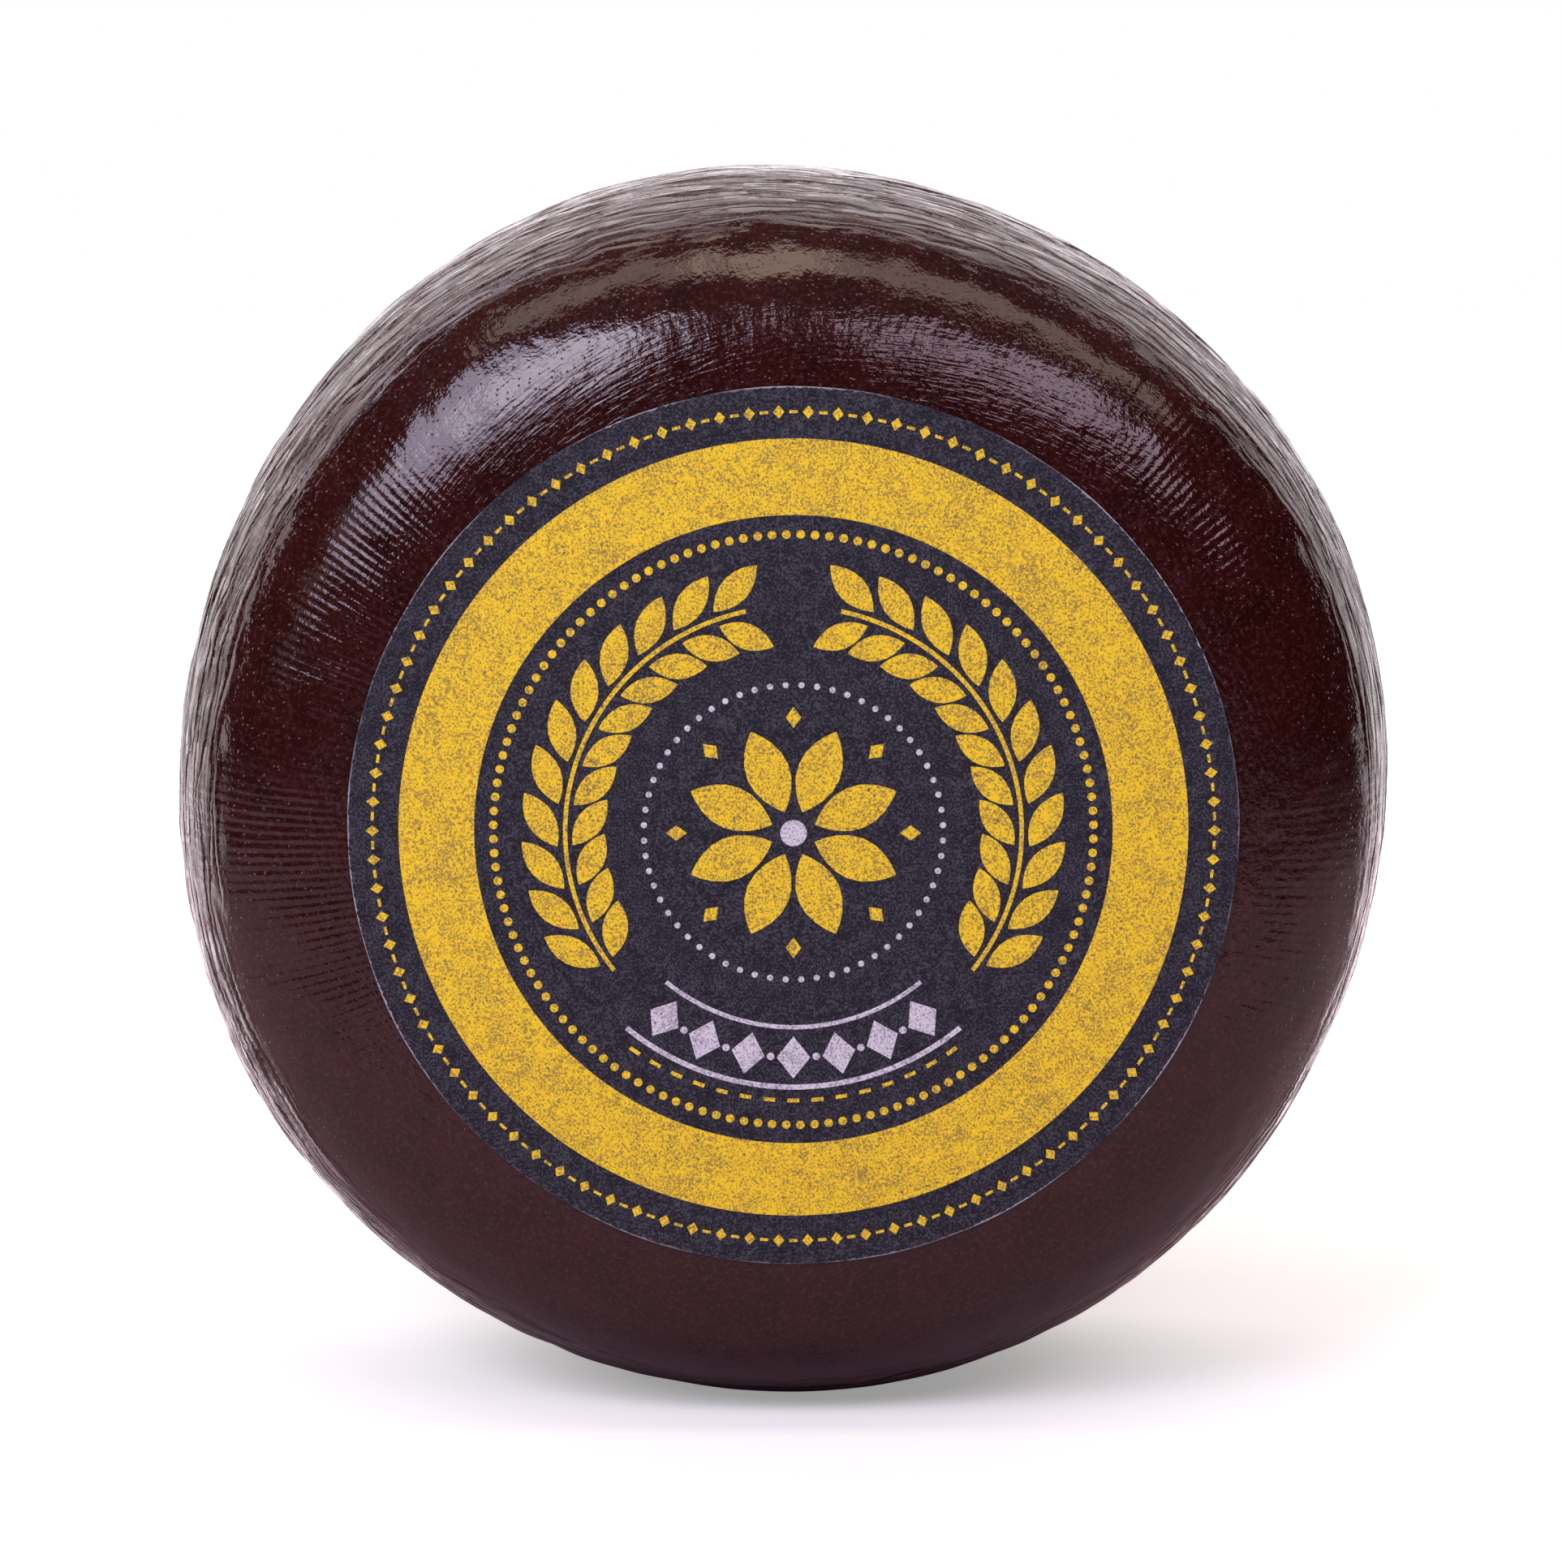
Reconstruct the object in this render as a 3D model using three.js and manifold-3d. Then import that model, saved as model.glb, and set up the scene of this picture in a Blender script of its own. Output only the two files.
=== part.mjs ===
// A whole round goat cheese of about two kilograms, in a glossy dark red-brown coating, with one
// round paper label. It stands on its rim: the wheel's axis lies along Y, the label faces -Y, and
// +Z is up. Millimetres. The origin is the middle of the small flat that the wheel stands on,
// straight under its axis.

import * as THREE from "three";
import { mergeVertices } from "three/addons/utils/BufferGeometryUtils.js";
import Module from "manifold-3d";

// Driving dimensions of the wheel
const rimRadius = 90; // from the axis to the middle of the rim, before the rim's unevenness
const wheelWidth = 90; // from face to face along the axis
const shoulderRadius = 28; // the rounding between face and rim, as the hoop mould gives it
const rimBulgeRadius = 120; // the rim bulges a little between its two shoulders
const faceCrownRadius = 900; // the faces are nearly flat
const footDepth = 0.85; // how far the rim has settled flat under the wheel's own weight

// The rim is pressed by hand and isn't quite round. Each lobe swells the rim by its height in
// as many places as it has waves, the first of them at its turn, counted from +X towards +Z.
const rimLobes = [
  { waves: 2, height: 0.55, turn: 90 },
  { waves: 3, height: 0.27, turn: 6 },
  { waves: 4, height: 0.47, turn: 25 },
];

// Driving dimensions of the label
const labelRadius = 63.5;
const labelThickness = 0.4;
const labelGap = 0.3; // clear of the coating, for the glue
const labelRight = 1.7; // put on by hand, a little to the right of the axis
const labelDown = 0.2;

// How finely the round forms are cut
const turnSteps = 128;
const rimSteps = 3; // from the middle of the rim to a shoulder
const shoulderSteps = 9;
const faceSteps = 3; // from a shoulder to the axis
const labelTurnSteps = 96;
const labelRings = 6;

// The half outline of the wheel is three arcs that touch smoothly: rim, shoulder and face. The
// rim's arc is centred on the wheel's mid-plane and the face's arc on its axis, so the shoulder's
// centre lies where a circle round each of these two centres crosses the other.
function shoulderArc() {
  const rimCentre = new THREE.Vector2(rimRadius - rimBulgeRadius, 0);
  const faceCentre = new THREE.Vector2(0, faceCrownRadius - wheelWidth / 2);
  const rimReach = rimBulgeRadius - shoulderRadius;
  const faceReach = faceCrownRadius - shoulderRadius;
  const between = faceCentre.clone().sub(rimCentre);
  const distance = between.length();
  const along = (rimReach ** 2 - faceReach ** 2 + distance ** 2) / (2 * distance);
  const aside = Math.sqrt(rimReach ** 2 - along ** 2);
  const direction = between.normalize();
  const centre = rimCentre
    .clone()
    .addScaledVector(direction, along)
    .addScaledVector(new THREE.Vector2(direction.y, -direction.x), aside);
  const rimAngle = centre.clone().sub(rimCentre).angle() - 2 * Math.PI;
  const faceAngle = centre.clone().sub(faceCentre).angle() - 2 * Math.PI;
  return { centre, rimCentre, faceCentre, rimAngle, faceAngle };
}

const shoulder = shoulderArc();

function arcPoints(centre, radius, from, to, steps) {
  const points = [];
  for (let i = 0; i <= steps; i += 1) {
    const angle = THREE.MathUtils.lerp(from, to, i / steps);
    const x = centre.x + radius * Math.cos(angle);
    const y = centre.y + radius * Math.sin(angle);
    points.push(new THREE.Vector2(x, y));
  }
  return points;
}

// From the middle of the rim round the front shoulder to the axis at the front face.
function frontOutline() {
  const { centre, rimCentre, faceCentre, rimAngle, faceAngle } = shoulder;
  const rim = arcPoints(rimCentre, rimBulgeRadius, 0, rimAngle, rimSteps);
  const round = arcPoints(centre, shoulderRadius, rimAngle, faceAngle, shoulderSteps);
  const face = arcPoints(faceCentre, faceCrownRadius, faceAngle, -Math.PI / 2, faceSteps);
  face[face.length - 1].x = 0;
  return [...rim, ...round.slice(1), ...face.slice(1)];
}

// How far forward of the mid-plane the front face lies at a distance from the axis.
function faceForward(radius) {
  const { centre, faceCentre, faceAngle } = shoulder;
  const faceEdge = faceCrownRadius * Math.cos(faceAngle);
  if (radius <= faceEdge) {
    return Math.sqrt(faceCrownRadius ** 2 - radius ** 2) - faceCentre.y;
  }
  return Math.sqrt(shoulderRadius ** 2 - (radius - centre.x) ** 2) - centre.y;
}

// The swelling of the rim at an angle from +X towards +Z.
function rimSwell(angle) {
  let swell = 0;
  for (const { waves, height, turn } of rimLobes) {
    swell += height * Math.cos(waves * (angle - THREE.MathUtils.degToRad(turn)));
  }
  return swell;
}

const footAngle = -Math.PI / 2;
const axisHeight = rimRadius + rimSwell(footAngle) - footDepth;

// Moves each point of a round form about Y out or in by the rim's swelling. The swelling fades
// towards the axis, so the faces stay even.
function swellRim(geometry) {
  const place = geometry.attributes.position;
  for (let i = 0; i < place.count; i += 1) {
    const x = place.getX(i);
    const z = place.getZ(i);
    const radius = Math.hypot(x, z);
    if (radius > 0) {
      const share = (radius / rimRadius) ** 2;
      const stretch = 1 + (rimSwell(Math.atan2(z, x)) * share) / radius;
      place.setXYZ(i, x * stretch, place.getY(i), z * stretch);
    }
  }
}

const wasm = await Module();
wasm.setup();

function solidFrom(geometry) {
  const bare = geometry.clone();
  bare.deleteAttribute("normal");
  bare.deleteAttribute("uv");
  const merged = mergeVertices(bare);
  return new wasm.Manifold(
    new wasm.Mesh({
      numProp: 3,
      vertProperties: merged.attributes.position.array,
      triVerts: new Uint32Array(merged.index.array),
    }),
  );
}

function geometryFrom(solid) {
  const mesh = solid.getMesh();
  const geometry = new THREE.BufferGeometry();
  geometry.setAttribute("position", new THREE.BufferAttribute(mesh.vertProperties, 3));
  geometry.setIndex(new THREE.BufferAttribute(mesh.triVerts, 1));
  const faceted = geometry.toNonIndexed();
  faceted.computeVertexNormals();
  return faceted;
}

// The cheese with its coating, one solid: the outline turned round the axis, its rim made uneven
// and the foot cut flat.
function cheeseWheel() {
  const front = frontOutline();
  const back = front.slice(1).map((point) => new THREE.Vector2(point.x, -point.y));
  const outline = [...front.reverse(), ...back];
  const round = new THREE.LatheGeometry(outline, turnSteps);
  swellRim(round);
  round.translate(0, 0, axisHeight);

  const cutterSize = 2 * rimRadius;
  const below = new THREE.BoxGeometry(cutterSize, cutterSize, cutterSize);
  below.translate(0, 0, -cutterSize / 2);
  return geometryFrom(solidFrom(round).subtract(solidFrom(below)));
}

// The paper label, a thin disc that lies on the face and follows it over the start of the
// shoulder. Both its sides follow the face, one gap and one gap and thickness in front of it.
function paperLabel() {
  const outline = [];
  for (let ring = 0; ring <= labelRings; ring += 1) {
    outline.push(new THREE.Vector2((labelRadius * ring) / labelRings, -labelThickness));
  }
  for (let ring = labelRings; ring >= 0; ring -= 1) {
    outline.push(new THREE.Vector2((labelRadius * ring) / labelRings, 0));
  }
  const disc = new THREE.LatheGeometry(outline, labelTurnSteps);
  const place = disc.attributes.position;
  for (let i = 0; i < place.count; i += 1) {
    const x = place.getX(i) + labelRight;
    const z = place.getZ(i) - labelDown;
    const behind = faceForward(Math.hypot(x, z)) + labelGap;
    place.setXYZ(i, x, place.getY(i) - behind, z + axisHeight);
  }
  return disc;
}

const coating = new THREE.MeshStandardMaterial({
  color: 0x3a1216,
  roughness: 0.25,
  metalness: 0,
});
const labelPaper = new THREE.MeshStandardMaterial({
  color: 0x3f4048,
  roughness: 0.75,
  metalness: 0,
});

function part(name, geometry, material) {
  const mesh = new THREE.Mesh(geometry, material);
  mesh.name = name;
  return mesh;
}

const goatCheese = new THREE.Group();
goatCheese.add(part("cheese_wheel", cheeseWheel(), coating));
goatCheese.add(part("label", paperLabel(), labelPaper));

export default goatCheese;
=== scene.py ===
import math

import bpy
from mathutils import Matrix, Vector


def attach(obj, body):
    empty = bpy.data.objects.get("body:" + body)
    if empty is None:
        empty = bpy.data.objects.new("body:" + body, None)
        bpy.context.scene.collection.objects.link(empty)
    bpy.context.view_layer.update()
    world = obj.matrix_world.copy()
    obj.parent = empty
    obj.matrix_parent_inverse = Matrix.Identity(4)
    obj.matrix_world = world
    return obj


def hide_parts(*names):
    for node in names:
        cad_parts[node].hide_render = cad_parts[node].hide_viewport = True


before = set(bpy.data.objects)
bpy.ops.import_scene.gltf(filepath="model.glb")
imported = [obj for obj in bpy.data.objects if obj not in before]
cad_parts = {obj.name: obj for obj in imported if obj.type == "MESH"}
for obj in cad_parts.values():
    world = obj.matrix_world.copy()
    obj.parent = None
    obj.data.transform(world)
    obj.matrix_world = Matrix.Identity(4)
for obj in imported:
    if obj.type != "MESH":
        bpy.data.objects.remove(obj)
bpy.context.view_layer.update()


# THE WHEEL
# A pressed goat cheese of about two kilograms, dipped in a dark red-brown coating that dries
# glossy. The cloth in its hoop has left fine ribs round both shoulders and long strands round the
# rim, and the cheese has settled on a small flat under its own weight.

rim_radius = 0.090
wheel_width = 0.090
shoulder_radius = 0.028
rim_bulge_radius = 0.120
face_crown_radius = 0.900
foot_depth = 0.00085

# The hand-pressed rim's low waves: how many go round, how high, and where one stands out most.
rim_lobes = ((2, 0.00055, 90), (3, 0.00027, 6), (4, 0.00047, 25))

# How finely the mesh follows the wheel. Crowding below 1 sets the shoulder's rings closer together
# towards the rim.
ribs_round = 350
points_per_rib = 4
front_face_steps = 4
front_shoulder_steps = 26
shoulder_crowding = 0.75
rim_steps = 96
back_shoulder_steps = 10
back_face_steps = 16


def rim_swell(angle):
    """How far the hand-pressed rim stands out at an angle from +X towards +Z."""
    swell = 0.0
    for waves, height, turn in rim_lobes:
        swell += height * math.cos(waves * (angle - math.radians(turn)))
    return swell


axis_height = rim_radius + rim_swell(-math.pi / 2) - foot_depth

# The half outline is three arcs that touch: the rim's and the face's arcs are known, and the
# centre of the shoulder's lies where it touches both from inside.
rim_centre = Vector((rim_radius - rim_bulge_radius, 0.0))
face_centre = Vector((0.0, face_crown_radius - wheel_width / 2))
rim_reach = rim_bulge_radius - shoulder_radius
face_reach = face_crown_radius - shoulder_radius
between = face_centre - rim_centre
along = (rim_reach**2 - face_reach**2 + between.length_squared) / (2 * between.length)
aside = math.sqrt(rim_reach**2 - along**2)
outward = between.normalized()
shoulder_centre = rim_centre + along * outward + aside * Vector((outward.y, -outward.x))
to_shoulder = shoulder_centre - rim_centre
rim_half_turn = math.atan2(-to_shoulder.y, to_shoulder.x)
from_face = shoulder_centre - face_centre
face_half_turn = math.atan2(from_face.x, -from_face.y)


def front_outline(face_steps, shoulder_steps):
    """Points (radius, depth) from just off the axis over the face and down the shoulder."""
    points = []
    for step in range(1, face_steps):
        turn = face_half_turn * step / face_steps
        depth = face_centre.y - face_crown_radius * math.cos(turn)
        points.append((face_crown_radius * math.sin(turn), depth))
    shoulder_start = len(points)
    for step in range(shoulder_steps + 1):
        share = (step / shoulder_steps) ** shoulder_crowding
        turn = face_half_turn * (1 - share) + (math.pi / 2 - rim_half_turn) * share
        radius = shoulder_centre.x + shoulder_radius * math.sin(turn)
        depth = shoulder_centre.y - shoulder_radius * math.cos(turn)
        points.append((radius, depth))
    return points, shoulder_start


def wheel_rings():
    """The rings of the wheel from front to back: radius, depth and how many points each has."""
    coarse, fine = ribs_round, ribs_round * points_per_rib
    rings = []
    outline, start = front_outline(front_face_steps, front_shoulder_steps)
    for place, (radius, depth) in enumerate(outline):
        rings.append((radius, depth, fine if place >= start else coarse))
    for step in range(1, rim_steps):
        turn = rim_half_turn * (2 * step / rim_steps - 1)
        radius = rim_centre.x + rim_bulge_radius * math.cos(turn)
        rings.append((radius, rim_bulge_radius * math.sin(turn), coarse))
    outline, start = front_outline(back_face_steps, back_shoulder_steps)
    for place, (radius, depth) in reversed(list(enumerate(outline))):
        rings.append((radius, -depth, fine if place >= start else coarse))
    return rings


def ring_faces(first, first_count, second, second_count):
    """Faces between a ring and the next one behind it, four to one where they differ."""
    faces = []
    if first_count == second_count:
        for j in range(first_count):
            k = (j + 1) % first_count
            faces.append((first + j, second + j, second + k, first + k))
        return faces
    swapped = first_count < second_count
    fine, coarse = (second, first) if swapped else (first, second)
    fine_count = max(first_count, second_count)
    coarse_count = min(first_count, second_count)
    half = points_per_rib // 2
    for j in range(coarse_count):
        near, far = coarse + j, coarse + (j + 1) % coarse_count
        row = [fine + (j * points_per_rib + i) % fine_count for i in range(points_per_rib + 1)]
        fans = [(near, row[i + 1], row[i]) for i in range(half)]
        fans.append((near, far, row[half]))
        fans += [(far, row[i + 1], row[i]) for i in range(half, points_per_rib)]
        for a, b, c in fans:
            faces.append((a, c, b) if swapped else (a, b, c))
    return faces


def wheel_blank():
    """The smooth wheel, before the cloth's marks: closed at both poles, its foot cut flat."""
    rings = wheel_rings()
    pole_depth = wheel_width / 2
    points, starts, faces = [(0.0, -pole_depth, axis_height)], [], []
    for radius, depth, count in rings:
        starts.append(len(points))
        for j in range(count):
            angle = 2 * math.pi * j / count
            reach = radius + rim_swell(angle) * (radius / rim_radius) ** 2
            height = max(axis_height + reach * math.sin(angle), 0.0)
            points.append((reach * math.cos(angle), depth, height))
    back_pole = len(points)
    points.append((0.0, pole_depth, axis_height))
    count = rings[0][2]
    for j in range(count):
        k = (j + 1) % count
        faces.append((0, starts[0] + j, starts[0] + k))
        faces.append((back_pole, starts[-1] + k, starts[-1] + j))
    for i in range(len(rings) - 1):
        faces += ring_faces(starts[i], rings[i][2], starts[i + 1], rings[i + 1][2])
    mesh = bpy.data.meshes.new("wheel_blank")
    mesh.from_pydata(points, [], faces)
    mesh.shade_smooth()
    return mesh


def put(tree, socket, value):
    """Sets an input, or links it where the value is another node's output."""
    if isinstance(value, bpy.types.NodeSocket):
        tree.links.new(value, socket)
    else:
        socket.default_value = value


def maths(tree, operation, first, second=0.0, third=0.0):
    made = tree.nodes.new("ShaderNodeMath")
    made.operation = operation
    for socket, value in zip(made.inputs, (first, second, third)):
        put(tree, socket, value)
    return made.outputs[0]


def vector_maths(tree, operation, first, second):
    made = tree.nodes.new("ShaderNodeVectorMath")
    made.operation = operation
    put(tree, made.inputs[0], first)
    put(tree, made.inputs[1], second)
    return made.outputs[0]


def scaled(tree, vector, scale):
    """A pattern's coordinates, stretched by a different amount along each axis."""
    return vector_maths(tree, "MULTIPLY", vector, scale)


def parted(tree, vector):
    """A vector's three parts: across, depth and up."""
    made = tree.nodes.new("ShaderNodeSeparateXYZ")
    put(tree, made.inputs[0], vector)
    return made.outputs


def vector_of(tree, across=0.0, depth=0.0, up=0.0):
    """A vector put together from its three parts."""
    made = tree.nodes.new("ShaderNodeCombineXYZ")
    for socket, part in zip(made.inputs, (across, depth, up)):
        put(tree, socket, part)
    return made.outputs[0]


def sum_of_squares(tree, first, second):
    return maths(tree, "ADD", maths(tree, "POWER", first, 2), maths(tree, "POWER", second, 2))


def product(tree, first, *others):
    for other in others:
        first = maths(tree, "MULTIPLY", first, other)
    return first


def at_least(tree, share, least):
    """A share from 0 to 1, squeezed so that it starts from a least value."""
    return maths(tree, "MULTIPLY_ADD", share, 1.0 - least, least)


def eased(tree, value, low, high):
    """From 0 at low to 1 at high, without a corner. High may be the smaller of the two."""
    made = tree.nodes.new("ShaderNodeMapRange")
    made.interpolation_type = "SMOOTHSTEP"
    put(tree, made.inputs["Value"], value)
    start, end = (low, high) if low < high else (high, low)
    made.inputs["From Min"].default_value = start
    made.inputs["From Max"].default_value = end
    made.inputs["To Min"].default_value = 0.0 if low < high else 1.0
    made.inputs["To Max"].default_value = 1.0 if low < high else 0.0
    return made.outputs["Result"]


def cloud(tree, vector, scale, seed, detail=2.0, roughness=0.5):
    """Soft random unevenness from 0 to 1, the same each run for a seed."""
    made = tree.nodes.new("ShaderNodeTexNoise")
    made.noise_dimensions = "4D"
    put(tree, made.inputs["Vector"], vector)
    put(tree, made.inputs["W"], seed)
    made.inputs["Scale"].default_value = scale
    made.inputs["Detail"].default_value = detail
    made.inputs["Roughness"].default_value = roughness
    return made.outputs["Fac"]


def from_axis(tree, position):
    """A place on the wheel as seen from its axis: centred place, angle, radius and depth."""
    centred = vector_maths(tree, "SUBTRACT", position, (0.0, 0.0, axis_height))
    across, depth, up = parted(tree, centred)
    angle = maths(tree, "ARCTAN2", up, across)
    radius = maths(tree, "SQRT", sum_of_squares(tree, across, up))
    return centred, angle, radius, depth


# Patterns change over from the front's way of counting to the back's within this depth.
rim_middle = 0.02


def over_skin(tree, angle, radius, depth):
    """A place as if followed over the skin: round the wheel, and from its front to its back."""
    side = maths(tree, "MINIMUM", maths(tree, "DIVIDE", depth, rim_middle), 1.0)
    side = maths(tree, "MAXIMUM", side, -1.0)
    inward = maths(tree, "SUBTRACT", rim_radius, radius)
    return vector_of(
        tree,
        across=maths(tree, "MULTIPLY", maths(tree, "SINE", angle), rim_radius),
        depth=maths(tree, "MULTIPLY_ADD", side, inward, depth),
        up=maths(tree, "MULTIPLY", maths(tree, "COSINE", angle), rim_radius),
    )


def pushed_aside(tree, vector, amount):
    """Moves a pattern's coordinates along their second axis."""
    return vector_maths(tree, "ADD", vector, vector_of(tree, depth=amount))


# The strands' inner edge wavers, and lies farther in at the wheel's left. The power says how
# closely that reach keeps to the left.
strand_edge_waver = 0.006
left_reach = 0.0034
left_power = 2.5


def towards_rim(tree, angle, radius, waver):
    """How near the rim a place is, in metres, with the strands' uneven inner edge reckoned in."""
    leftwards = maths(tree, "MULTIPLY", maths(tree, "COSINE", angle), -1.0)
    leftwards = maths(tree, "MAXIMUM", leftwards, 0.0)
    sideways = maths(tree, "POWER", leftwards, left_power)
    reach = maths(tree, "MULTIPLY_ADD", sideways, left_reach, radius)
    inner = maths(tree, "SUBTRACT", reach, strand_edge_waver / 2)
    return maths(tree, "MULTIPLY_ADD", waver, strand_edge_waver, inner)


# A power below 1 makes a strand's back broad and the crease beside it sharp.
strand_roundness = 0.75


def creased(tree, lying, seed, width):
    """Rounded strands side by side, from 1 on their backs to 0 in the crease between two."""
    side = maths(tree, "ABSOLUTE", maths(tree, "SUBTRACT", cloud(tree, lying, 1.0, seed, 1.0), 0.5))
    share = maths(tree, "MINIMUM", maths(tree, "DIVIDE", side, width), 1.0)
    return maths(tree, "POWER", share, strand_roundness)


def new_tree(name, sizes):
    """An empty Geometry Nodes tree with a geometry input and named inputs for its sizes."""
    tree = bpy.data.node_groups.new(name, "GeometryNodeTree")
    face = tree.interface
    face.new_socket("Geometry", in_out="INPUT", socket_type="NodeSocketGeometry")
    for size in sizes:
        kind = "NodeSocketInt" if isinstance(sizes[size], int) else "NodeSocketFloat"
        face.new_socket(size, in_out="INPUT", socket_type=kind)
    face.new_socket("Material", in_out="INPUT", socket_type="NodeSocketMaterial")
    face.new_socket("Geometry", in_out="OUTPUT", socket_type="NodeSocketGeometry")
    return tree, tree.nodes.new("NodeGroupInput").outputs


def close_tree(tree, geometry, material):
    """Ends a tree: instances made real, and the finish laid on."""
    realize = tree.nodes.new("GeometryNodeRealizeInstances")
    put(tree, realize.inputs[0], geometry)
    finish = tree.nodes.new("GeometryNodeSetMaterial")
    put(tree, finish.inputs["Geometry"], realize.outputs[0])
    put(tree, finish.inputs["Material"], material)
    put(tree, tree.nodes.new("NodeGroupOutput").inputs[0], finish.outputs[0])


def made_by_tree(name, mesh, tree, sizes, material):
    """Runs a tree on a mesh and returns the result as a plain mesh object of that name."""
    worker = bpy.data.objects.new(name, mesh)
    bpy.context.collection.objects.link(worker)
    modifier = worker.modifiers.new("shape", "NODES")
    modifier.node_group = tree
    for item in tree.interface.items_tree:
        if item.in_out == "INPUT" and item.name in sizes:
            modifier[item.identifier] = sizes[item.name]
        elif item.in_out == "INPUT" and item.name == "Material":
            modifier[item.identifier] = material
    graph = bpy.context.evaluated_depsgraph_get()
    result = bpy.data.meshes.new_from_object(worker.evaluated_get(graph), depsgraph=graph)
    worker.modifiers.remove(modifier)
    worker.data = result
    result.name = name
    bpy.data.meshes.remove(mesh)
    return worker


cloth_marks = {
    "Ribs Round": ribs_round,
    "Rib Depth": 0.00018,
    "Strand Depth": 0.00038,
    "Thread Depth": 0.00032,
    "Dent Depth": 0.0005,
    "Lump Depth": 0.00050,
    "Seed": 4.0,
}

# The ribs rise and fade over these distances from the axis. Away from the wheel's left they begin
# farther out, and near its top they end farther in.
ribs_rise = (0.0612, 0.0665)
ribs_fade = (0.0885, 0.0850)
ribs_later = 0.0065
ribs_shorter = 0.0125
away_from_left = (-0.80, -0.45)
near_top_degrees = (30.0, 14.0)

# A rib is deepest where the wheel was pressed hardest, and a gap is a place where the ribs are
# faint: its middle, how far they are faintest, and where they are full again, in degrees.
hardest_pressed = 168.0
least_pressed = 0.55
rib_gaps = ((121.0, 9.0, 20.0), (60.0, 9.0, 20.0), (170.0, 4.5, 9.0), (14.5, 9.5, 15.0))
least_in_gap = 0.22

rib_wander = 7.0
wanders_per_metre = 60.0
rib_patches_per_metre = 38.0
patch_levels = (0.36, 0.62)
least_in_patch = 0.20
rib_breaks_per_metre = 330.0
break_levels = (0.30, 0.60)
least_in_break = 0.35


def rib_relief(tree, given, centred, angle, radius):
    """Ribs over the shoulder, from face to rim. Each wanders a little, breaks off for a few
    millimetres here and there, and is pressed less deep where the cheese was firmer."""
    seed = given["Seed"]
    wander = maths(tree, "MULTIPLY", cloud(tree, centred, wanders_per_metre, seed), rib_wander)
    wave = maths(tree, "SINE", maths(tree, "MULTIPLY_ADD", angle, given["Ribs Round"], wander))
    patches = cloud(tree, centred, rib_patches_per_metre, maths(tree, "ADD", seed, 3.0))
    breaks = cloud(tree, centred, rib_breaks_per_metre, maths(tree, "ADD", seed, 4.0))

    off_left = eased(tree, maths(tree, "COSINE", angle), *away_from_left)
    off_face = maths(tree, "MULTIPLY_ADD", off_left, -ribs_later, radius)
    from_top = maths(tree, "ABSOLUTE", maths(tree, "SUBTRACT", angle, math.pi / 2))
    near_top = eased(tree, from_top, *map(math.radians, near_top_degrees))
    off_rim = maths(tree, "MULTIPLY_ADD", near_top, ribs_shorter, radius)

    pressed = maths(tree, "COSINE", maths(tree, "SUBTRACT", angle, math.radians(hardest_pressed)))
    pressed = at_least(tree, maths(tree, "ABSOLUTE", pressed), least_pressed)
    for middle, faint, full in rib_gaps:
        aside_of = maths(tree, "ABSOLUTE", maths(tree, "SUBTRACT", angle, math.radians(middle)))
        outside = eased(tree, aside_of, math.radians(faint), math.radians(full))
        pressed = maths(tree, "MULTIPLY", pressed, at_least(tree, outside, least_in_gap))

    shown = product(
        tree,
        eased(tree, off_face, *ribs_rise),
        eased(tree, off_rim, *ribs_fade),
        pressed,
        at_least(tree, eased(tree, patches, *patch_levels), least_in_patch),
        at_least(tree, eased(tree, breaks, *break_levels), least_in_break),
    )
    return product(tree, wave, shown, maths(tree, "MULTIPLY", given["Rib Depth"], 0.5))


# A pattern's three numbers say how often it comes in a metre round the wheel and across its rim.
bunch_pattern = (42.0, 80.0, 42.0)
bunch_waver = 0.007
strand_pattern = (24.0, 215.0, 24.0)
thread_pattern = (58.0, 420.0, 58.0)
strand_width = 0.24
strand_middle = 0.62
strands_rise = (0.0842, 0.0888)
near_left = (-0.50, -0.85)
deeper_at_left = 0.3


def strand_relief(tree, given, angle, radius, depth):
    """Strands round the rim, thick ones some centimetres long and thinner threads between them.
    They bunch and part, so their places along the axis waver."""
    seed = given["Seed"]
    skin = over_skin(tree, angle, radius, depth)
    waver = cloud(tree, scaled(tree, skin, bunch_pattern), 1.0, maths(tree, "ADD", seed, 5.0))
    shifted = pushed_aside(tree, skin, maths(tree, "MULTIPLY", waver, bunch_waver))
    rows = []
    kinds = ((strand_pattern, 6.0, "Strand Depth"), (thread_pattern, 7.0, "Thread Depth"))
    for pattern, step, size in kinds:
        row = creased(tree, scaled(tree, shifted, pattern), maths(tree, "ADD", seed, step), strand_width)
        rows.append(maths(tree, "MULTIPLY", maths(tree, "SUBTRACT", row, strand_middle), given[size]))
    near_rim = eased(tree, towards_rim(tree, angle, radius, waver), *strands_rise)
    on_left = eased(tree, maths(tree, "COSINE", angle), *near_left)
    deeper = maths(tree, "MULTIPLY_ADD", on_left, deeper_at_left, 1.0)
    return product(tree, maths(tree, "ADD", *rows), near_rim, deeper), near_rim


dents_per_metre = 34.0
bumps_per_metre = 170.0
bumps_left_at_rim = 0.2
label_edge_zone = (0.060, 0.072)
dents_under_label = 0.1


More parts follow.
